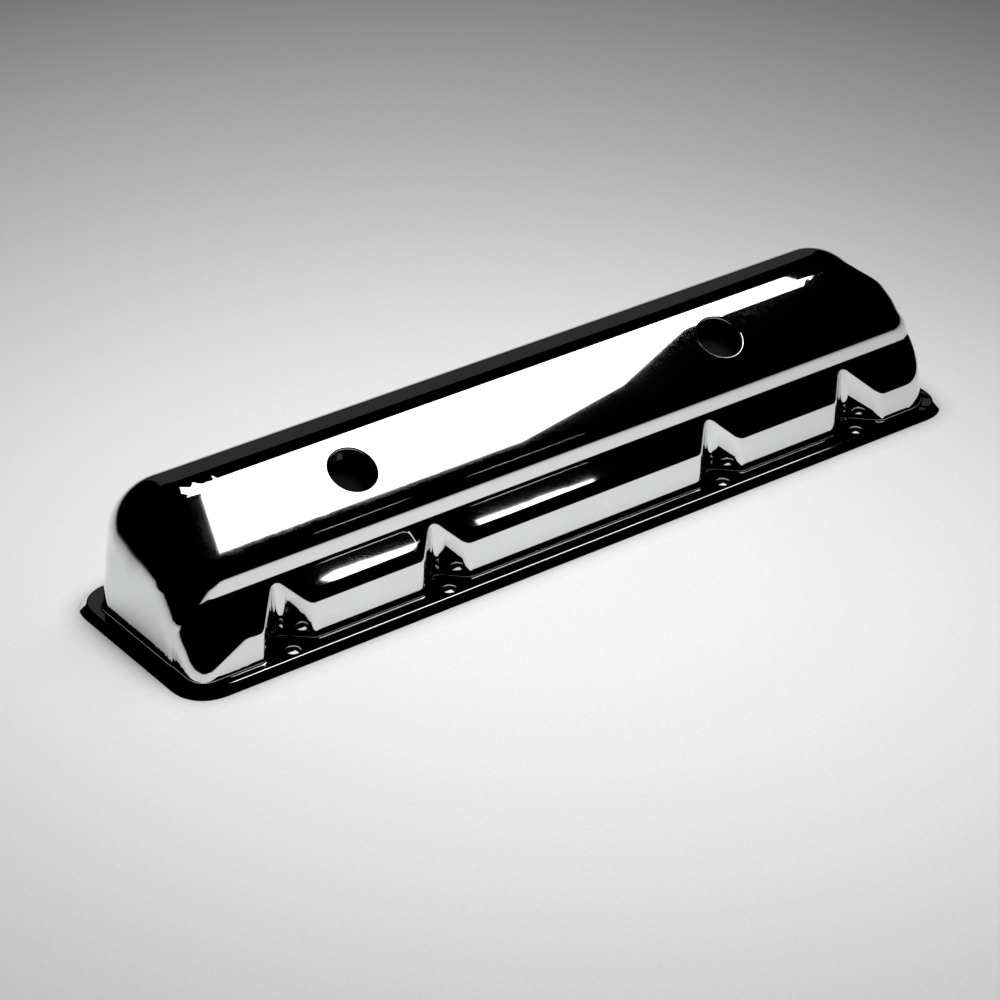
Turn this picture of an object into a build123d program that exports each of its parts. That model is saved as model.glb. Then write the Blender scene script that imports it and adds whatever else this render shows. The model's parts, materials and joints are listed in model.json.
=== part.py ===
from build123d import *
from math import sqrt, sin, cos, tan, radians
import os

os.makedirs("parts", exist_ok=True)

# Pressed-steel engine valve cover with two spot-welded oil baffles.
# Millimetres. X runs along the cover, -Y is the notched front, +Z is up.
# The rim of the flange stands on z = 0 and the flange is centred on the origin.

# Sheet and flange
sheet = 1.2
flange_length = 500.0
flange_width = 121.0
flange_corner = 24.0
flange_height = 4.5
rim_bend = 2.8

# Body walls, measured from the flange edge to the outside of the sheet
end_margin = 7.8
front_margin = 25.7
back_margin = 13.6

# Upright corners of the body, along and across the cover, at the foot and at the brim
front_foot_along = 28.0
front_foot_across = 4.0
front_brim_along = 36.0
front_brim_across = 20.0
back_foot_corner = 12.6
back_brim_corner = 27.0

# Crown, in section across the cover
panel_angle = 30.0
crest_angle = 20.0
crease_y = 4.4
crease_z = 73.2
panel_roll = 12.0
crest_roll = 25.0
crease_roll = 6.0

# Rounding of the two ends over the crown
dome_length = 38.0
crest_end_radius = 33.0
panel_end_along = 36.0
panel_end_drop = 16.0
dome_tightening = 0.75
dome_stations = [0, 15, 30, 40, 50, 60, 70, 80, 90]

# Pontoons along the foot of the front wall
pontoon_margin = 11.0
pontoon_end_margin = 7.7
pontoon_top = 25.5
pontoon_draft = 1.0
shoulder_top = 38.8
pontoon_foot_along = 9.0
pontoon_foot_across = 11.0
pontoon_edge_along = 24.0
pontoon_edge_across = 18.0
pontoon_setback = 0.5
pontoon_end_lean = 5.0
pontoon_sink = 8.0
pontoon_roll = 4.0

# Flange bolts and the notches that clear their heads
bolt_outer = 185.5
bolt_inner = 90.4
bolt_margin = 9.9
bolt_hole = 8.0
notch_tip_radius = 5.5
notch_reach = 13.6
notch_angle = 44.0
flute_tip_radius = 9.0
flute_reach = 11.6
flute_roll = 4.0

# Grommet holes in the sloped panel
grommet_pitch = 240.0
grommet_hole = 25.4
grommet_y = -9.5
grommet_lip = 1.6

# Oil baffles
baffle_sheet = 1.0
baffle_length = 74.0
baffle_width = 26.0
baffle_drop = 10.0
baffle_fold = 45.0
baffle_foot = 9.0
weld_radius = 2.5
weld_depth = 0.3

# Tolerance for finding an edge by its place, a quarter turn in degrees, the turn in degrees
# that counts as smooth, and how far a cutter outruns what it cuts
touch = 0.01
quarter = 90.0
smooth_turn = 8.0
outrun = 10.0

body_end = flange_length / 2 - end_margin
flange_back = flange_width / 2
front_wall = flange_back - front_margin
back_wall = flange_back - back_margin
pontoon_front = flange_back - pontoon_margin
pontoon_end_front = flange_back - pontoon_end_margin
bolt_row = flange_back - bolt_margin


def corner_inset(along, across, reach):
    """How far a quarter-ellipse stands in from its side wall, at a distance from the end."""
    if reach >= along:
        return 0.0
    return across * (1 - sqrt(1 - ((along - reach) / along) ** 2))


def body_section(reach, inset):
    """Outline across the body, at a distance from the end wall, set in from the outside."""
    panel_slope = tan(radians(panel_angle))
    crest_slope = tan(radians(crest_angle))
    foot_corner = corner_inset(front_foot_along, front_foot_across, reach)
    brim_corner = corner_inset(front_brim_along, front_brim_across, reach)
    front_foot_y = -front_wall + inset + foot_corner
    front_brim_y = -front_wall + inset + brim_corner
    back_foot_y = back_wall - inset - corner_inset(back_foot_corner, back_foot_corner, reach)
    back_brim_y = back_wall - inset - corner_inset(back_brim_corner, back_brim_corner, reach)
    crest_inset = inset / cos(radians(crest_angle))
    panel_inset = inset / cos(radians(panel_angle))
    crest_drop = corner_inset(crest_end_radius, crest_end_radius, reach) + crest_inset
    panel_drop = corner_inset(panel_end_along, panel_end_drop, reach) + panel_inset
    ridge_z = crease_z - max(crest_drop, panel_drop)
    brim_z = crease_z - panel_slope * (crease_y + front_wall - inset) - panel_drop
    crown_z = crease_z - crest_drop + crest_slope * (back_brim_y - crease_y)
    tightening = dome_tightening * corner_inset(crest_roll, crest_roll, reach)
    return FilletPolyline(
        (front_foot_y, 0),
        (front_brim_y, brim_z),
        (crease_y, ridge_z),
        (back_brim_y, crown_z),
        (back_foot_y, 0),
        radius=[panel_roll - inset, crease_roll - inset, crest_roll - inset - tightening],
    )


def body_face(reach, inset):
    """Filled section across the body, standing in the plane of its own distance from the end."""
    arch = body_section(reach, inset)
    outline = arch + Line(arch @ 1, arch @ 0)
    across = Plane(origin=(body_end - inset - reach, 0, 0), x_dir=(0, 1, 0), z_dir=(1, 0, 0))
    return across * make_face(outline)


def body(inset):
    """The domed body, filled, as its outside or, set in by the sheet, as its inside."""
    steps = [dome_length * (1 - sin(radians(angle))) for angle in dome_stations]
    sections = [body_face(reach, inset) for reach in steps]
    end = loft(sections)
    middle = extrude(sections[0], amount=-2 * (body_end - inset - dome_length), dir=(1, 0, 0))
    return middle + end + mirror(end, about=Plane.YZ)


def notch(x, reach_in, tip, inset, height):
    """Upright prism that clears a bolt head in front: a rounded V in plan."""
    tip_radius = tip + inset
    half_angle = radians(notch_angle)
    tip_y = -bolt_row + reach_in + inset + tip_radius * (1 / sin(half_angle) - 1)
    reach = flange_width / 2 + tip_y
    half_width = reach * tan(half_angle)
    outline = FilletPolyline(
        (x - half_width, tip_y - reach),
        (x, tip_y),
        (x + half_width, tip_y - reach),
        radius=tip_radius,
    )
    plan = make_face(outline + Line(outline @ 1, outline @ 0))
    return extrude(plan, amount=height)


def fluted_body(inset):
    """The body with an upright flute in its back wall over each bolt."""
    form = body(inset)
    for x in (-bolt_outer, -bolt_inner, bolt_inner, bolt_outer):
        flute = notch(x, flute_reach, flute_tip_radius, inset, crease_z + crest_roll)
        form -= mirror(flute, about=Plane.XZ)
    mouths = [
        line
        for line in form.edges().filter_by(Axis.Z)
        if abs(line.center().Y - back_wall + inset) < touch
        and abs(line.center().X) < body_end - inset - dome_length - touch
    ]
    return fillet(mouths, flute_roll - inset)


def shoulder_height(y):
    """Height of the sloped shoulder of the pontoons at this distance from the cover's middle."""
    slope = (shoulder_top - pontoon_top) / (pontoon_front - pontoon_draft - front_wall)
    return shoulder_top + slope * (y + front_wall)


def pontoon_outline(half_length, front, along, across, height):
    """Plan of the pontoon band at one height: a front line and two rounded corners."""
    centre_in = half_length - along
    centre_out = across - front
    left = EllipticalCenterArc((-centre_in, centre_out), along, across, 2 * quarter, arc_size=quarter)
    right = EllipticalCenterArc((centre_in, centre_out), along, across, 3 * quarter, arc_size=quarter)
    outline = Line((-half_length, 0), left @ 0) + left + Line(left @ 1, right @ 0) + right
    outline += Line(right @ 1, (half_length, 0)) + Line((half_length, 0), (-half_length, 0))
    return Pos(0, 0, height) * make_face(outline)


def front_trim(inset):
    """Wedge that sets the middle pontoons back from the two at the ends."""
    foot_y = -pontoon_front + inset
    edge_y = foot_y + pontoon_draft * crease_z / pontoon_top
    profile = Polyline(
        (foot_y, 0),
        (edge_y, crease_z),
        (-flange_back, crease_z),
        (-flange_back, 0),
        close=True,
    )
    return extrude(Plane.YZ * make_face(profile), amount=bolt_outer, both=True)


def is_creased(form, line):
    """Whether two faces of a form meet at a real crease along this edge."""
    middle = line @ 0.5
    turns = [face.normal_at(middle) for face in form.faces() if line in face.edges()]
    return len(turns) == 2 and turns[0].get_angle(turns[1]) > smooth_turn


def pontoons(inset):
    """The bulged foot of the front wall, parted by the bolt notches."""
    sunk = inset * sqrt(1 + (shoulder_height(1) - shoulder_height(0)) ** 2)
    half_length = body_end - pontoon_setback - inset
    edge_front = pontoon_end_front - pontoon_draft - inset
    root_front = front_wall - inset - pontoon_sink
    foot_along = pontoon_foot_along - inset
    foot_across = pontoon_foot_across - inset
    edge_along = pontoon_edge_along - inset
    edge_across = pontoon_edge_across - inset
    edge_half = half_length - pontoon_draft
    edge_z = shoulder_height(-edge_front) - sunk
    root_half = half_length - pontoon_end_lean
    root_z = shoulder_height(-root_front) - sunk
    foot = pontoon_outline(half_length, pontoon_end_front - inset, foot_along, foot_across, 0)
    edge = pontoon_outline(edge_half, edge_front, edge_along, edge_across, edge_z)
    root = pontoon_outline(root_half, root_front, edge_along, edge_across, root_z)
    band = loft([foot, edge, root], ruled=True)
    band -= front_trim(inset)
    for x in (-bolt_outer, -bolt_inner, bolt_inner, bolt_outer):
        band -= notch(x, notch_reach, notch_tip_radius, inset, crease_z)
    outside = [
        line
        for line in band.edges()
        if line.center().Y < -front_wall + inset and touch < line.center().Z < root_z - touch
    ]
    creases = [line for line in outside if is_creased(band, line)]
    return fillet(creases, pontoon_roll - inset)


def flange(inset):
    """Flat flange with a turned-down rim, filled."""
    plan = RectangleRounded(flange_length - 2 * inset, flange_width - 2 * inset, flange_corner - inset)
    plate = extrude(plan, amount=flange_height - inset)
    return fillet(plate.edges().group_by(Axis.Z)[-1], rim_bend - inset)


def press_form(inset):
    """Everything that the sheet is drawn over, filled: body, pontoons and flange."""
    return fluted_body(inset) + pontoons(inset) + flange(inset)


def panel_plane(x, depth):
    """Plane on the sloped panel at a grommet hole, sunk below the panel's outside."""
    tilt = radians(panel_angle)
    panel_z = crease_z + tan(tilt) * (grommet_y - crease_y)
    normal = Vector(0, -sin(tilt), cos(tilt))
    return Plane(origin=Vector(x, grommet_y, panel_z) - normal * depth, x_dir=(1, 0, 0), z_dir=normal)


def cover_shell():
    """The cover as one drawn sheet, with its bolt holes and its two turned-in grommet holes."""
    shell = press_form(0) - press_form(sheet)
    for x in (-grommet_pitch / 2, grommet_pitch / 2):
        mouth = panel_plane(x, 0)
        lip = Cylinder(
            grommet_hole / 2 + sheet,
            sheet + grommet_lip,
            align=(Align.CENTER, Align.CENTER, Align.MAX),
        )
        bore = Cylinder(grommet_hole / 2, outrun)
        shell += mouth * lip
        shell -= mouth * bore
    for x in (-bolt_outer, -bolt_inner, bolt_inner, bolt_outer):
        for y in (-bolt_row, bolt_row):
            shell -= Pos(x, y, flange_height) * Cylinder(bolt_hole / 2, outrun)
    return shell


def oil_baffle(x):
    """Folded plate under a grommet hole, with a foot at each end welded to the panel."""
    half = baffle_length / 2
    top_line = Polyline(
        (-half - baffle_foot, 0),
        (-half, 0),
        (-half + baffle_drop, -baffle_drop),
        (half - baffle_drop, -baffle_drop),
        (half, 0),
        (half + baffle_foot, 0),
    )
    bend = baffle_sheet * tan(radians(baffle_fold) / 2)
    under_line = Polyline(
        (half + baffle_foot, -baffle_sheet),
        (half + bend, -baffle_sheet),
        (half - baffle_drop + bend, -baffle_drop - baffle_sheet),
        (-half + baffle_drop - bend, -baffle_drop - baffle_sheet),
        (-half - bend, -baffle_sheet),
        (-half - baffle_foot, -baffle_sheet),
    )
    ends = Line(top_line @ 1, under_line @ 0) + Line(under_line @ 1, top_line @ 0)
    seat = panel_plane(x, sheet)
    across = Plane(origin=seat.origin, x_dir=seat.x_dir, z_dir=-seat.y_dir)
    plate = extrude(across * make_face(top_line + under_line + ends), amount=baffle_width / 2, both=True)
    for end in (-1, 1):
        for side in (-1, 1):
            weld = Pos(end * (half + baffle_foot / 2), side * baffle_width / 4, -baffle_sheet)
            plate -= seat * weld * Cylinder(weld_radius, 2 * weld_depth)
    return plate


def save(part, name):
    export_step(part, "parts/" + name + ".step")


save(cover_shell(), "cover_shell")
save(oil_baffle(-grommet_pitch / 2), "oil_baffle_left")
save(oil_baffle(grommet_pitch / 2), "oil_baffle_right")
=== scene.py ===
import json
from math import cos, pi, radians, sin, sqrt, tan

import bmesh
import bpy
import numpy as np
from mathutils import Matrix, Vector

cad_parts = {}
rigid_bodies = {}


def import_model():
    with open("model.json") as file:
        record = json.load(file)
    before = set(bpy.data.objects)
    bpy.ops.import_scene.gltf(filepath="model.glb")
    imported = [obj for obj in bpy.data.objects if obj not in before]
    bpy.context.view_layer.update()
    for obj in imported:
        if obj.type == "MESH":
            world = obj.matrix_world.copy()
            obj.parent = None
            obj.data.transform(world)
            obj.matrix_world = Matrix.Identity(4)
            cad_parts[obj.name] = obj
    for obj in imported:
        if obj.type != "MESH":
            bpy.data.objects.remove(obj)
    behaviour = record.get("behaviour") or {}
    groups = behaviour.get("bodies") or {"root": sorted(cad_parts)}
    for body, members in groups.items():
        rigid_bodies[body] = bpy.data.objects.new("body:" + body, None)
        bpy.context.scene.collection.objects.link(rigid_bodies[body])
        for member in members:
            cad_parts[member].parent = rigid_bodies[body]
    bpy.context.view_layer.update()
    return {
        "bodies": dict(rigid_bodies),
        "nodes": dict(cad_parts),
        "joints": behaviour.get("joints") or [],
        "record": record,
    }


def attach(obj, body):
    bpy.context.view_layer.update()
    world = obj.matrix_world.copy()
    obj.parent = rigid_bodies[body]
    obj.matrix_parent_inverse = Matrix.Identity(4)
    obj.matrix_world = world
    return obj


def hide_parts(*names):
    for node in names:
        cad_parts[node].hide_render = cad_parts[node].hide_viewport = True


# Chromed valve cover on a pale table under one large soft lamp.
# The cover's skin is one grid bent round a rounded form. Lengths in cover and grid are millimetres
# and angles degrees; the other dictionaries are in metres.

perMetre = 1000
leastLength = 1e-12
leastSpan = 1e-9
leastFacing = -0.999
mostFacing = 0.9999

cover = {
    "sheet": 1.2,
    "flangeX": 250.0,
    "flangeY": 60.5,
    "flangeCorner": 24.0,
    "flangeTop": 4.5,
    "rimBend": 1.2,
    "rimFlare": 34.0,
    "footRoll": 1.2,
    "bodyEnd": 242.2,
    "frontWall": 34.8,
    "backWall": 46.5,
    "panelAngle": 30.0,
    "crestAngle": 20.0,
    "creaseY": 4.4,
    "creaseZ": 73.2,
    "panelRoll": 12.0,
    "creaseRoll": 6.0,
    "crestRoll": 26.0,
    "cornerLeft": 8.0,
    "cornerRight": 10.0,
    "brimLeft": 26.0,
    "brimRight": 24.0,
    "trimRoll": 14.0,
    "trimPoint": (-223.0, -34.8, 38.8),
    "bodyTrim": (-0.481, -0.744, 0.470),
    "bodyTrimOut": 2.0,
    "pontoonTrim": (-0.315, -0.739, 0.599),
    "brimRise": (36.0, 58.0),
    "heelRise": 50.0,
    "aimCentre": (5.0, 35.0),
    "crestAims": (15.0, 70.0),
    "panelAimsLeft": (70.0, 150.0),
    "panelAimsRight": (72.0, 122.0),
    "frontAims": (135.0, 172.0),
    "backAim": 270.0,
    "endRollLeft": 22.0,
    "endRollRight": 14.0,
    "endRollCrest": 33.0,
    "endRollBack": 27.0,
    "endRollHeel": 12.6,
    "pontoonFront": 49.5,
    "pontoonEndFront": 52.8,
    "pontoonDraft": 1.0,
    "pontoonTop": 25.5,
    "shoulderTop": 38.8,
    "pontoonSetback": 0.5,
    "pontoonLean": 2.0,
    "footLeft": 9.0,
    "footRight": 18.0,
    "shoulderLeft": 12.0,
    "shoulderRight": 22.0,
    "pontoonRoll": 4.0,
    "pontoonRoot": 2.0,
    "leanBelow": 4.0,
    "leanAbove": 2.0,
    "footRise": 8.0,
    "riseLimit": 1.3,
    "capAbove": 1.2,
    "capRoll": 3.0,
    "pontoonInside": 8.0,
    "insideRoll": 14.0,
    "boltXs": (-185.5, -90.4, 90.4, 185.5),
    "boltRow": 50.6,
    "boltHole": 8.0,
    "notchTip": 5.5,
    "notchReach": 13.6,
    "notchAngle": 44.0,
    "notchRoll": 4.0,
    "fluteTip": 9.0,
    "fluteReach": 11.6,
    "holeXs": (-120.0, 120.0),
    "holeY": -9.5,
    "holeRadius": 12.7,
    "holeRoll": 1.0,
    "holeLip": 1.8,
    "holeFlat": 2.0,
    "holeSegments": 96,
    "boltRoll": 0.3,
    "boltLip": 0.3,
    "boltFlat": 0.3,
    "boltSegments": 32,
    "edgeClear": 0.5,
    "rimReach": 3,
    "rollSteps": 5,
}
grid = {
    "axisEnd": 188.0,
    "fanColumns": 84,
    "notchSpan": 26.0,
    "notchColumns": 26,
    "plainStep": 5.0,
    "rings": 92,
    "flatStep": 10.0,
    "turnStep": 0.09,
    "crownFrom": 43.0,
    "crownShare": 0.46,
    "lowClimb": 8.0,
    "lowSamples": 240,
    "highSamples": 300,
    "rayNear": 8.0,
    "rayFar": 130.0,
    "halvings": 20,
    "weldGap": 0.02,
    "sliverGap": 0.01,
    "outerGap": 0.02,
    "innerGap": 0.15,
    "leastAlong": 0.5,
}
chromeLook = {
    "hazeScale": 28.0,
    "hazeDetail": 5.0,
    "darkTone": (0.68, 0.69, 0.70),
    "lightTone": (0.75, 0.755, 0.76),
    "leastRoughness": 0.01,
    "mostRoughness": 0.03,
}
# painted shade: the baffles get a near-black colour so the large holes in the top panel read as shade
# inside
shadedBaffleLook = {
    "grainScale": 160.0,
    "darkTone": (0.02, 0.02, 0.019),
    "lightTone": (0.045, 0.045, 0.042),
    "roughness": 0.6,
}
view = {
    "place": (-0.94188, -1.23344, 0.91132),
    "forward": (0.51619, 0.69104, -0.50598),
    "lens": 121.8,
    "sensor": 36,
}
studio = {
    "tableSize": 4.0,
    "tableRoughness": 0.9,
    "tableShine": 0.1,
    # painted light: the table's colour is brightest round this centre and falls off outwards through
    # these spots and tones, a painted pool of lamp light
    "paintedLightCentre": (-0.011, -0.046),
    "paintedLightSpots": (0.10, 0.20, 0.30, 0.40, 0.50, 0.60),
    "paintedLightTones": (0.88, 0.86, 0.80, 0.71, 0.60, 0.50, 0.42, 0.10),
    "grainScale": 420.0,
    "grainDetail": 3.0,
    "leastSpeck": 0.93,
    "mostSpeck": 1.05,
    # painted shade: ambient occlusion darkens the table's colour next to the cover, a painted contact
    # shadow
    "paintedShadeSamples": 8,
    "paintedShadeDistance": 0.014,
    "paintedShadePower": 2.2,
    "lampHeight": 0.9,
    "lampStrength": 3.0,
    "softbox": (
        (0.210, 0.256),
        (0.828, 0.256),
        (0.828, -0.056),
        (0.690, -0.060),
        (0.610, -0.088),
        (0.500, -0.103),
        (0.210, -0.103),
    ),
    "streaks": (
        (
            (0.393, -0.643),
            (0.408, -0.640),
            (0.491, -0.643),
            (0.497, -0.644),
            (0.482, -0.652),
            (0.414, -0.654),
        ),
        (
            (0.556, -0.643),
            (0.686, -0.646),
            (0.689, -0.651),
            (0.672, -0.651),
            (0.595, -0.654),
            (0.561, -0.649),
        ),
    ),
    # painted light: glowing white squares on the table under the front bolt holes stand in for the lit
    # table seen through them
    "boltHoleGlowTone": 0.85,
    "boltHoleGlowHeight": 0.0004,
    "dimTone": 0.034,
    "dimCard": ((0.2, 1.5, 0.1), (1.8, 1.5, 0.1), (1.8, 1.5, 2.0), (0.2, 1.5, 2.0)),
    "fillPlace": (0.0, -0.05, 2.0),
    "fillSize": 1.6,
    "fillPower": 46,
}


def ramp(value, low, high):
    share = np.clip((value - low) / (high - low), 0, 1)
    return share * share * (3 - 2 * share)


def plane(points, normal, offset):
    normal = np.array(normal, float)
    normal /= np.linalg.norm(normal)
    return points @ normal - offset, np.broadcast_to(normal, points.shape)


def roundMax(first, second, radius):
    # where two forms overlap, the edge between them rolled to a true radius
    (firstGap, firstTurn), (secondGap, secondTurn) = first, second
    facing = np.clip((firstTurn * secondTurn).sum(-1), leastFacing, mostFacing)
    u, v = firstGap + radius, secondGap + radius
    spread = 1 - facing**2
    a = (u - facing * v) / spread
    b = (v - facing * u) / spread
    inRoll = (a > 0) & (b > 0)
    length = np.sqrt(np.maximum(a * a + b * b + 2 * a * b * facing, leastLength))
    gap = np.where(inRoll, length - radius, np.maximum(firstGap, secondGap))
    rolled = (a[:, None] * firstTurn + b[:, None] * secondTurn) / length[:, None]
    flat = np.where((firstGap > secondGap)[:, None], firstTurn, secondTurn)
    return gap, np.where(inRoll[:, None], rolled, flat)


def flip(form):
    return -form[0], -form[1]


def roundMin(first, second, radius):
    # two forms joined, the hollow between them filled to a true radius
    return flip(roundMax(flip(first), flip(second), radius))


def ends(points, half):
    side = np.sign(points[:, 0])
    turn = np.zeros_like(points)
    turn[:, 0] = side
    return np.abs(points[:, 0]) - half, turn


def roundEnds(side, end, along, across):
    # a form closed by its end, the corner rolled to a quarter of an ellipse
    u, v = end[0] / along + 1, side[0] / across + 1
    inRoll = (u > 0) & (v > 0)
    length = np.hypot(u, v) + leastSpan
    gap = np.where(inRoll, (length - 1) * np.minimum(along, across), np.maximum(end[0], side[0]))
    rolled = (u / along)[:, None] * end[1] + (v / across)[:, None] * side[1]
    rolled /= np.linalg.norm(rolled, axis=1)[:, None] + leastLength
    flat = np.where((end[0] > side[0])[:, None], end[1], side[1])
    return gap, np.where(inRoll[:, None], rolled, flat)


def notch(points, x, rowY, reach, tipRadius):
    # rounded upright V that clears a bolt head, open towards the flange's edge
    face = np.sign(rowY)
    across = points[:, 0] - x
    inward = abs(rowY) - reach + tipRadius - points[:, 1] * face
    side = np.sign(across)
    half = radians(cover["notchAngle"])
    far = np.hypot(across, inward) + leastSpan
    inTip = inward > np.abs(across) * tan(half)
    gap = np.where(inTip, far, np.abs(across) * cos(half) + inward * sin(half)) - tipRadius
    turn = np.zeros_like(points)
    turn[:, 0] = np.where(inTip, across / far, side * cos(half))
    turn[:, 1] = -face * np.where(inTip, inward / far, sin(half))
    return gap, turn


def trimPlane(points, turn, out):
    # slanted plane that cuts the left front corner
    turn = np.array(turn)
    turn /= np.linalg.norm(turn)
    return plane(points, turn, np.array(cover["trimPoint"]) @ turn + out)


def bodyForm(points):
    y, z = points[:, 1], points[:, 2]
    panel, crest = radians(cover["panelAngle"]), radians(cover["crestAngle"])
    crease = np.array([0, cover["creaseY"], cover["creaseZ"]])
    panelTurn = np.array([0, -sin(panel), cos(panel)])
    crestTurn = np.array([0, -sin(crest), cos(crest)])
    front = plane(points, (0, -1, 0), cover["frontWall"])
    top = plane(points, panelTurn, crease @ panelTurn)
    ridge = plane(points, crestTurn, crease @ crestTurn)
    back = plane(points, (0, 1, 0), cover["backWall"])
    crown = roundMax(top, ridge, cover["creaseRoll"])
    section = roundMax(roundMax(crown, back, cover["crestRoll"]), front, cover["panelRoll"])
    for x in cover["boltXs"]:
        flute = notch(points, x, cover["boltRow"], cover["fluteReach"], cover["fluteTip"])
        section = roundMax(section, flip(flute), cover["notchRoll"])
    centreY, centreZ = cover["aimCentre"]
    aim = np.degrees(np.arctan2(z - centreZ, y - centreY)) % 360
    isLeft = points[:, 0] < 0
    brim = ramp(z, *cover["brimRise"])
    heelShare = np.clip(z / cover["heelRise"], 0, 1)
    back = cover["endRollHeel"] + (cover["endRollBack"] - cover["endRollHeel"]) * heelShare
    top = back + (cover["endRollCrest"] - back) * ramp(aim, *cover["crestAims"])
    panel = np.where(isLeft, cover["endRollLeft"], cover["endRollRight"])
    leftShare, rightShare = ramp(aim, *cover["panelAimsLeft"]), ramp(aim, *cover["panelAimsRight"])
    top += (panel - cover["endRollCrest"]) * np.where(isLeft, leftShare, rightShare)
    top = np.where(aim > cover["backAim"], back, top)
    front = ramp(aim, *cover["frontAims"]) * (aim < cover["backAim"])
    low = np.where(isLeft, cover["cornerLeft"], cover["cornerRight"])
    along = low + (np.where(isLeft, cover["brimLeft"], cover["brimRight"]) - low) * brim
    along = top + (along - top) * front
    form = roundEnds(section, ends(points, cover["bodyEnd"]), along, along)
    trim = trimPlane(points, cover["bodyTrim"], cover["bodyTrimOut"])
    return roundMax(form, trim, cover["trimRoll"])


def pontoonForm(points):
    x, z = np.abs(points[:, 0]), points[:, 2]
    beyond = x > cover["boltXs"][-1]
    draft = cover["pontoonDraft"] / cover["pontoonTop"]
    frontAt = np.where(beyond, cover["pontoonEndFront"], cover["pontoonFront"])
    front = plane(points, (0, -1, draft), 0)
    front = (front[0] - frontAt, front[1])
    slope = (cover["shoulderTop"] - cover["pontoonTop"]) / (
        cover["pontoonFront"] - cover["pontoonDraft"] - cover["frontWall"]
    )
    shoulderTurn = np.array([0, -slope, 1]) / sqrt(1 + slope * slope)
    rootPoint = np.array([0, -cover["frontWall"], cover["shoulderTop"]])
    shoulder = plane(points, shoulderTurn, rootPoint @ shoulderTurn)
    rise = ramp(z, cover["pontoonTop"] - cover["leanBelow"], cover["shoulderTop"] + cover["leanAbove"])
    half = cover["bodyEnd"] - cover["pontoonSetback"] - cover["pontoonLean"] * rise
    climb = (z - cover["footRise"]) / (cover["pontoonTop"] - cover["footRise"])
    climb = np.clip(climb, 0, cover["riseLimit"])
    isLeft = points[:, 0] < 0
    foot = np.where(isLeft, cover["footLeft"], cover["footRight"])
    shoulderCorner = np.where(isLeft, cover["shoulderLeft"], cover["shoulderRight"])
    along = foot + (shoulderCorner - foot) * climb
    plan = roundEnds(front, ends(points, half), along, along)
    plan = roundMax(plan, trimPlane(points, cover["pontoonTrim"], 0), cover["trimRoll"])
    form = roundMax(plan, shoulder, cover["pontoonRoll"])
    cap = plane(points, (0, 0, 1), cover["shoulderTop"] + cover["capAbove"])
    form = roundMax(form, cap, cover["capRoll"])
    # the pontoon ends inside the body
    form = roundMax(form, plane(points, (0, 1, 0), -cover["pontoonInside"]), cover["insideRoll"])
    for boltX in cover["boltXs"]:
        cut = notch(points, boltX, -cover["boltRow"], cover["notchReach"], cover["notchTip"])
        form = roundMax(form, flip(cut), cover["notchRoll"])
    return form


def flangeForm(points):
    flare = radians(cover["rimFlare"])
    lean = points[:, 2] * sin(flare)
    edgeTurn = np.stack([0 * lean, np.sign(points[:, 1]) * cos(flare), sin(flare) + 0 * lean], axis=1)
    edges = ((np.abs(points[:, 1]) - cover["flangeY"]) * cos(flare) + lean, edgeTurn)
    endTurn = np.stack([np.sign(points[:, 0]) * cos(flare), 0 * lean, sin(flare) + 0 * lean], axis=1)
    tips = ((np.abs(points[:, 0]) - cover["flangeX"]) * cos(flare) + lean, endTurn)
    plan = roundMax(edges, tips, cover["flangeCorner"])
    return roundMax(plan, plane(points, (0, 0, 1), cover["flangeTop"]), cover["rimBend"])


def coverForm(points):
    upper = roundMin(bodyForm(points), pontoonForm(points), cover["pontoonRoot"])
    return roundMin(upper, flangeForm(points), cover["footRoll"])


def rayHits(origins, aims):
    # where rays that leave the cover's middle line pass through its skin
    near = np.full(len(aims), grid["rayNear"])
    far = np.full(len(aims), grid["rayFar"])
    for _ in range(grid["halvings"]):
        middle = (near + far) / 2
        outside = coverForm(origins + aims * middle[:, None])[0] > 0
        far = np.where(outside, middle, far)
        near = np.where(outside, near, middle)
    return origins + aims * ((near + far) / 2)[:, None]


def columnPlan():
    # plan position and heading of each column of the grid, once round the cover
    reach, step = grid["axisEnd"], grid["plainStep"]
    marks = [-reach]
    for x in cover["boltXs"]:
        low, high = max(x - grid["notchSpan"], -reach), min(x + grid["notchSpan"], reach)
        gap = low - marks[-1]
        if gap > step:
            marks += list(np.linspace(marks[-1], low, int(gap / step) + 1)[1:])
        count = max(2, round(grid["notchColumns"] * (high - low) / (2 * grid["notchSpan"])))
        marks += list(np.linspace(marks[-1], high, count)[1:])
    xs = np.array(marks)
    turns = np.linspace(-pi / 2, pi / 2, grid["fanColumns"])[1:-1]
    columns = [(x, -pi / 2) for x in xs]
    columns += [(reach, turn) for turn in turns]
    columns += [(x, pi / 2) for x in xs[::-1]]
    columns += [(-reach, turn + pi) for turn in turns]
    columns.append(columns[0])
    return np.array(columns)


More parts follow.
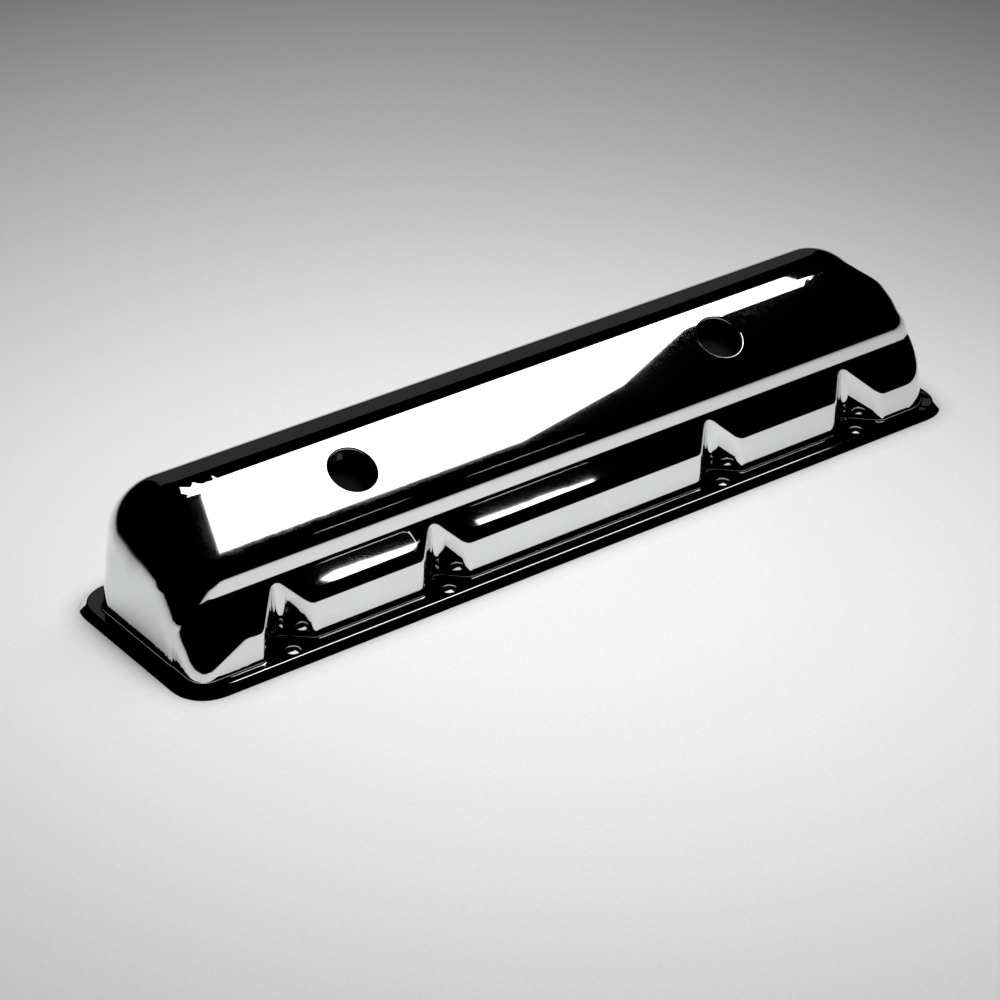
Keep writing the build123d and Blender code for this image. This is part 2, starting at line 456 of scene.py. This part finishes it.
def skinPoints():
    # points of the skin by column and ring, closest together where it turns
    columns = columnPlan()
    split = radians(grid["lowClimb"])
    low = np.linspace(0, split, grid["lowSamples"])
    high = np.linspace(split, pi / 2, grid["highSamples"])[1:]
    climbs = np.concatenate([low, high])
    shape = (len(columns), len(climbs))

    def cast(climb):
        heading = columns[:, 1:2]
        aims = np.stack(
            [
                np.cos(heading) * np.cos(climb),
                np.sin(heading) * np.cos(climb),
                np.sin(climb) + 0 * heading,
            ],
            -1,
        ).reshape(-1, 3)
        origins = np.zeros((len(columns), climb.shape[-1], 3))
        origins[:, :, 0] = columns[:, 0:1]
        return rayHits(origins.reshape(-1, 3), aims).reshape(len(columns), climb.shape[-1], 3)

    fine = cast(np.broadcast_to(climbs, shape))
    turns = coverForm(fine.reshape(-1, 3))[1].reshape(fine.shape)
    steps = np.linalg.norm(np.diff(fine, axis=1), axis=-1)
    bends = np.linalg.norm(np.diff(turns, axis=1), axis=-1)
    cost = steps / grid["flatStep"] + bends / grid["turnStep"]
    # the crown takes the same share of the rings in every column
    crown = fine[:, 1:, 2] > grid["crownFrom"]
    crownCost = (cost * crown).sum(axis=1, keepdims=True)
    wallCost = (cost * ~crown).sum(axis=1, keepdims=True)
    cost *= np.where(crown, grid["crownShare"] / crownCost, (1 - grid["crownShare"]) / wallCost)
    travel = np.concatenate([np.zeros((len(columns), 1)), np.cumsum(cost, axis=1)], axis=1)
    travel /= travel[:, -1:]
    stops = np.linspace(0, 1, grid["rings"])
    chosen = np.array([np.interp(stops, row, climbs) for row in travel])
    # along the straight sides the crown rings run at one height
    firstRing = round((1 - grid["crownShare"]) * (grid["rings"] - 1)) + 1
    for side in (-pi / 2, pi / 2):
        straight = columns[:, 1] == side
        chosen[straight, firstRing:] = np.median(chosen[straight, firstRing:], axis=0)
    return cast(chosen)


def buildSkin():
    points = skinPoints()
    columnCount, ringCount = points.shape[:2]
    bm = bmesh.new()
    bmesh.ops.create_grid(bm, x_segments=columnCount - 1, y_segments=ringCount - 1, size=0.5)
    bm.verts.ensure_lookup_table()
    for vert in bm.verts:
        column = round((vert.co.x + 0.5) * (columnCount - 1))
        ring = round((vert.co.y + 0.5) * (ringCount - 1))
        vert.co = points[column, ring] / perMetre
    bmesh.ops.remove_doubles(bm, verts=bm.verts, dist=grid["weldGap"] / perMetre)
    bmesh.ops.dissolve_degenerate(bm, dist=grid["sliverGap"] / perMetre, edges=bm.edges)
    bmesh.ops.recalc_face_normals(bm, faces=bm.faces)
    print("skin", len(bm.verts), "points")
    return bm


def holeFrame(x):
    tilt = radians(cover["panelAngle"])
    z = cover["creaseZ"] + tan(tilt) * (cover["holeY"] - cover["creaseY"])
    place = Vector((x, cover["holeY"], z)) / perMetre
    return Matrix.Translation(place) @ Matrix.Rotation(tilt, 4, "X")


def boltFrame(x, y):
    return Matrix.Translation(Vector((x, y, cover["flangeTop"])) / perMetre)


def openHole(bm, frame, radius, roll, lip, flat, segments):
    # a round hole with its edge rolled inwards
    inverse = frame.inverted()
    radius, roll, lip = radius / perMetre, roll / perMetre, lip / perMetre
    clear = radius + roll + cover["edgeClear"] / perMetre
    inPlane = {v for v in bm.verts if abs((inverse @ v.co).z) < flat / perMetre}
    near = {v for v in inPlane if (inverse @ v.co).xy.length < clear}
    touched = [f for f in bm.faces if any(v in near for v in f.verts)]
    inside = [f for f in touched if all(v in inPlane for v in f.verts)]
    bmesh.ops.delete(bm, geom=inside, context="FACES")
    reach = cover["rimReach"] * clear
    around = {v for v in bm.verts if v in inPlane and (inverse @ v.co).xy.length < reach}
    rim = [e for e in bm.edges if e.is_boundary and all(v in around for v in e.verts)]
    circle = bmesh.ops.create_circle(bm, segments=segments, radius=radius + roll, matrix=frame)["verts"]
    ring = list({e for v in circle for e in v.link_edges})
    bmesh.ops.bridge_loops(bm, edges=rim + ring)
    reachNow = radius + roll
    steps = cover["rollSteps"]
    turns = [step / steps * pi / 2 for step in range(1, steps + 1)]
    profile = [(radius + roll * (1 - sin(t)), roll * (1 - cos(t))) for t in turns]
    profile.append((radius, roll + lip))
    for reachNext, depth in profile:
        made = bmesh.ops.extrude_edge_only(bm, edges=ring)["geom"]
        verts = [g for g in made if isinstance(g, bmesh.types.BMVert)]
        edges = [g for g in made if isinstance(g, bmesh.types.BMEdge)]
        ring = [e for e in edges if all(v in verts for v in e.verts)]
        for vert in verts:
            place = inverse @ vert.co
            place.x *= reachNext / reachNow
            place.y *= reachNext / reachNow
            place.z = -depth
            vert.co = frame @ place
        reachNow = reachNext
    print("hole cleared", len(inside), "rim", len(rim))


def trueNormals(mesh):
    # shade each face by the exact turn of the pressed form
    count = len(mesh.vertices)
    places = np.empty(count * 3)
    mesh.vertices.foreach_get("co", places)
    gap, turn = coverForm(places.reshape(-1, 3) * perMetre)
    loops = len(mesh.loops)
    owner = np.empty(loops, dtype=np.int32)
    mesh.loops.foreach_get("vertex_index", owner)
    shown = np.empty(loops * 3)
    mesh.corner_normals.foreach_get("vector", shown)
    shown = shown.reshape(-1, 3)
    facing = np.empty(len(mesh.polygons) * 3)
    mesh.polygons.foreach_get("normal", facing)
    sizes = np.empty(len(mesh.polygons), dtype=np.int32)
    mesh.polygons.foreach_get("loop_total", sizes)
    facing = np.repeat(facing.reshape(-1, 3), sizes, axis=0)
    gap, turn = gap[owner], turn[owner]
    along = (facing * turn).sum(axis=1)
    outer = (np.abs(gap) < grid["outerGap"]) & (along > grid["leastAlong"])
    shown[outer] = turn[outer]
    inner = (np.abs(gap + cover["sheet"]) < grid["innerGap"]) & (along < -grid["leastAlong"])
    shown[inner] = -turn[inner]
    shown /= np.linalg.norm(shown, axis=1)[:, None]
    mesh.normals_split_custom_set([tuple(row) for row in shown])
    print("shaded", int(outer.sum()), "outer and", int(inner.sum()), "inner corners of", loops)


def makeObject(bm, name, node, material):
    mesh = bpy.data.meshes.new(name)
    bm.to_mesh(mesh)
    bm.free()
    piece = bpy.data.objects.new(name, mesh)
    bpy.context.scene.collection.objects.link(piece)
    mesh.materials.append(material)
    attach(piece, "root")
    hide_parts(node)
    return piece


def chromeMaterial():
    material = bpy.data.materials.new("chromePlate")
    material.use_nodes = True
    nodes, links = material.node_tree.nodes, material.node_tree.links
    surface = nodes["Principled BSDF"]
    surface.inputs["Metallic"].default_value = 1.0
    place = nodes.new("ShaderNodeTexCoord")
    haze = nodes.new("ShaderNodeTexNoise")
    haze.inputs["Scale"].default_value = chromeLook["hazeScale"]
    haze.inputs["Detail"].default_value = chromeLook["hazeDetail"]
    links.new(place.outputs["Object"], haze.inputs["Vector"])
    tone = nodes.new("ShaderNodeValToRGB")
    tone.color_ramp.elements[0].color = (*chromeLook["darkTone"], 1)
    tone.color_ramp.elements[1].color = (*chromeLook["lightTone"], 1)
    links.new(haze.outputs["Fac"], tone.inputs["Fac"])
    links.new(tone.outputs["Color"], surface.inputs["Base Color"])
    gloss = nodes.new("ShaderNodeMapRange")
    gloss.inputs["To Min"].default_value = chromeLook["leastRoughness"]
    gloss.inputs["To Max"].default_value = chromeLook["mostRoughness"]
    links.new(haze.outputs["Fac"], gloss.inputs["Value"])
    links.new(gloss.outputs["Result"], surface.inputs["Roughness"])
    return material


# painted shade: near-black steel on the baffles stands in for the shade inside the cover
def shadedBaffleMaterial():
    material = bpy.data.materials.new("baffleSteelPaintedShade")
    material.use_nodes = True
    nodes, links = material.node_tree.nodes, material.node_tree.links
    surface = nodes["Principled BSDF"]
    surface.inputs["Metallic"].default_value = 1.0
    place = nodes.new("ShaderNodeTexCoord")
    grain = nodes.new("ShaderNodeTexNoise")
    grain.inputs["Scale"].default_value = shadedBaffleLook["grainScale"]
    links.new(place.outputs["Object"], grain.inputs["Vector"])
    tone = nodes.new("ShaderNodeValToRGB")
    tone.color_ramp.elements[0].color = (*shadedBaffleLook["darkTone"], 1)
    tone.color_ramp.elements[1].color = (*shadedBaffleLook["lightTone"], 1)
    links.new(grain.outputs["Fac"], tone.inputs["Fac"])
    links.new(tone.outputs["Color"], surface.inputs["Base Color"])
    surface.inputs["Roughness"].default_value = shadedBaffleLook["roughness"]
    return material


def stageMaterial(name, color, strength):
    material = bpy.data.materials.new(name)
    material.use_nodes = True
    nodes, links = material.node_tree.nodes, material.node_tree.links
    nodes.remove(nodes["Principled BSDF"])
    glow = nodes.new("ShaderNodeEmission")
    glow.inputs["Color"].default_value = (*color, 1)
    glow.inputs["Strength"].default_value = strength
    links.new(glow.outputs["Emission"], nodes["Material Output"].inputs["Surface"])
    return material


def tableMaterial():
    material = bpy.data.materials.new("paleTable")
    material.use_nodes = True
    nodes, links = material.node_tree.nodes, material.node_tree.links
    surface = nodes["Principled BSDF"]
    surface.inputs["Roughness"].default_value = studio["tableRoughness"]
    surface.inputs["Specular IOR Level"].default_value = studio["tableShine"]
    place = nodes.new("ShaderNodeTexCoord")
    # painted light: a colour ramp by distance from the centre paints a pool of lamp light into the
    # table's colour
    away = nodes.new("ShaderNodeVectorMath")
    away.operation = "DISTANCE"
    away.inputs[1].default_value = (*studio["paintedLightCentre"], 0)
    links.new(place.outputs["Object"], away.inputs[0])
    paintedLightPool = nodes.new("ShaderNodeValToRGB")
    stops = paintedLightPool.color_ramp.elements
    stops[0].color = (studio["paintedLightTones"][0],) * 3 + (1,)
    stops[1].color = (studio["paintedLightTones"][-1],) * 3 + (1,)
    for spot, tone in zip(studio["paintedLightSpots"], studio["paintedLightTones"][1:-1]):
        stops.new(spot).color = (tone, tone, tone, 1)
    links.new(away.outputs["Value"], paintedLightPool.inputs["Fac"])
    grain = nodes.new("ShaderNodeTexNoise")
    grain.inputs["Scale"].default_value = studio["grainScale"]
    grain.inputs["Detail"].default_value = studio["grainDetail"]
    links.new(place.outputs["Object"], grain.inputs["Vector"])
    speck = nodes.new("ShaderNodeMapRange")
    speck.inputs["To Min"].default_value = studio["leastSpeck"]
    speck.inputs["To Max"].default_value = studio["mostSpeck"]
    links.new(grain.outputs["Fac"], speck.inputs["Value"])
    # painted shade: ambient occlusion, deepened by a power, darkens the table's colour beside the cover
    # as a painted contact shadow
    paintedContactShade = nodes.new("ShaderNodeAmbientOcclusion")
    paintedContactShade.samples = studio["paintedShadeSamples"]
    paintedContactShade.inputs["Distance"].default_value = studio["paintedShadeDistance"]
    shade = nodes.new("ShaderNodeMath")
    shade.operation = "MULTIPLY"
    links.new(speck.outputs["Result"], shade.inputs[0])
    deepen = nodes.new("ShaderNodeMath")
    deepen.operation = "POWER"
    deepen.inputs[1].default_value = studio["paintedShadePower"]
    links.new(paintedContactShade.outputs["AO"], deepen.inputs[0])
    links.new(deepen.outputs["Value"], shade.inputs[1])
    mixed = nodes.new("ShaderNodeVectorMath")
    mixed.operation = "SCALE"
    links.new(paintedLightPool.outputs["Color"], mixed.inputs[0])
    links.new(shade.outputs["Value"], mixed.inputs["Scale"])
    links.new(mixed.outputs["Vector"], surface.inputs["Base Color"])
    return material


def flatCard(name, corners, material):
    bm = bmesh.new()
    verts = [bm.verts.new(corner) for corner in corners]
    bm.faces.new(verts)
    mesh = bpy.data.meshes.new(name)
    bm.to_mesh(mesh)
    bm.free()
    card = bpy.data.objects.new(name, mesh)
    bpy.context.scene.collection.objects.link(card)
    mesh.materials.append(material)
    return card


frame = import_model()

skin = buildSkin()
holeEdge = (cover["holeRoll"], cover["holeLip"], cover["holeFlat"], cover["holeSegments"])
for holeX in cover["holeXs"]:
    openHole(skin, holeFrame(holeX), cover["holeRadius"], *holeEdge)
boltEdge = (cover["boltRoll"], cover["boltLip"], cover["boltFlat"], cover["boltSegments"])
for boltX in cover["boltXs"]:
    for boltY in (-cover["boltRow"], cover["boltRow"]):
        openHole(skin, boltFrame(boltX, boltY), cover["boltHole"] / 2, *boltEdge)
chrome = chromeMaterial()
shell = makeObject(skin, "coverSkin", "cover_shell", chrome)
shell.data.shade_smooth()
thick = shell.modifiers.new("thickness", "SOLIDIFY")
thick.thickness = cover["sheet"] / perMetre
thick.offset = -1
evaluated = shell.evaluated_get(bpy.context.evaluated_depsgraph_get())
thickMesh = bpy.data.meshes.new_from_object(evaluated)
shell.modifiers.clear()
shell.data = thickMesh
# the cut edge of the sheet lies flat on the table
for vert in thickMesh.vertices:
    vert.co.z = max(vert.co.z, 0)
trueNormals(thickMesh)
print("triangles", sum(len(p.vertices) - 2 for p in thickMesh.polygons))
# painted shade: the baffles take the near-black steel
shadedSteel = shadedBaffleMaterial()
for name in ("oil_baffle_left", "oil_baffle_right"):
    baffle = frame["nodes"][name]
    baffle.data.materials.clear()
    baffle.data.materials.append(shadedSteel)
print("materials done")

tableMesh = bpy.data.meshes.new("table")
bm = bmesh.new()
bmesh.ops.create_grid(bm, x_segments=1, y_segments=1, size=studio["tableSize"])
bm.to_mesh(tableMesh)
bm.free()
table = bpy.data.objects.new("table", tableMesh)
bpy.context.scene.collection.objects.link(table)
tableMesh.materials.append(tableMaterial())

lampFace = stageMaterial("lampFace", (1, 1, 1), studio["lampStrength"])
outlines = {"softbox": studio["softbox"]}
for index, outline in enumerate(studio["streaks"]):
    outlines["streakCard" + str(index)] = outline
for name, outline in outlines.items():
    flatCard(name, [(x, y, studio["lampHeight"]) for x, y in outline], lampFace)
# painted light: glowing white squares under the front bolt holes, not paper and not lamps
boltHoleGlow = stageMaterial("boltHoleGlowFace", (1, 1, 1), studio["boltHoleGlowTone"])
half = cover["boltHole"] / 2 / perMetre
square = [(-half, -half), (half, -half), (half, half), (-half, half)]
for index, boltX in enumerate(cover["boltXs"]):
    x, y = boltX / perMetre, -cover["boltRow"] / perMetre
    flatCard("boltHoleGlow" + str(index), [(x + dx, y + dy, studio["boltHoleGlowHeight"]) for dx, dy in square], boltHoleGlow)
flatCard("dimCard", studio["dimCard"], stageMaterial("dimFace", (1, 1, 1), studio["dimTone"]))

world = bpy.data.worlds.new("studio")
bpy.context.scene.world = world
world.use_nodes = True
world.node_tree.nodes["Background"].inputs["Color"].default_value = (0.0, 0.0, 0.0, 1)

fill = bpy.data.lights.new("fill", "AREA")
fill.shape = "DISK"
fill.size = studio["fillSize"]
fill.energy = studio["fillPower"]
fillObject = bpy.data.objects.new("fill", fill)
bpy.context.scene.collection.objects.link(fillObject)
fillObject.location = studio["fillPlace"]
fillObject.rotation_euler = (-fillObject.location).to_track_quat("-Z", "Y").to_euler()
fillObject.visible_glossy = False

camera = bpy.data.cameras.new("camera")
camera.lens = view["lens"]
camera.sensor_width = view["sensor"]
cameraObject = bpy.data.objects.new("camera", camera)
bpy.context.scene.collection.objects.link(cameraObject)
cameraObject.location = view["place"]
cameraObject.rotation_euler = Vector(view["forward"]).to_track_quat("-Z", "Y").to_euler()
bpy.context.scene.camera = cameraObject
bpy.context.scene.view_settings.view_transform = "Standard"
print("studio done")
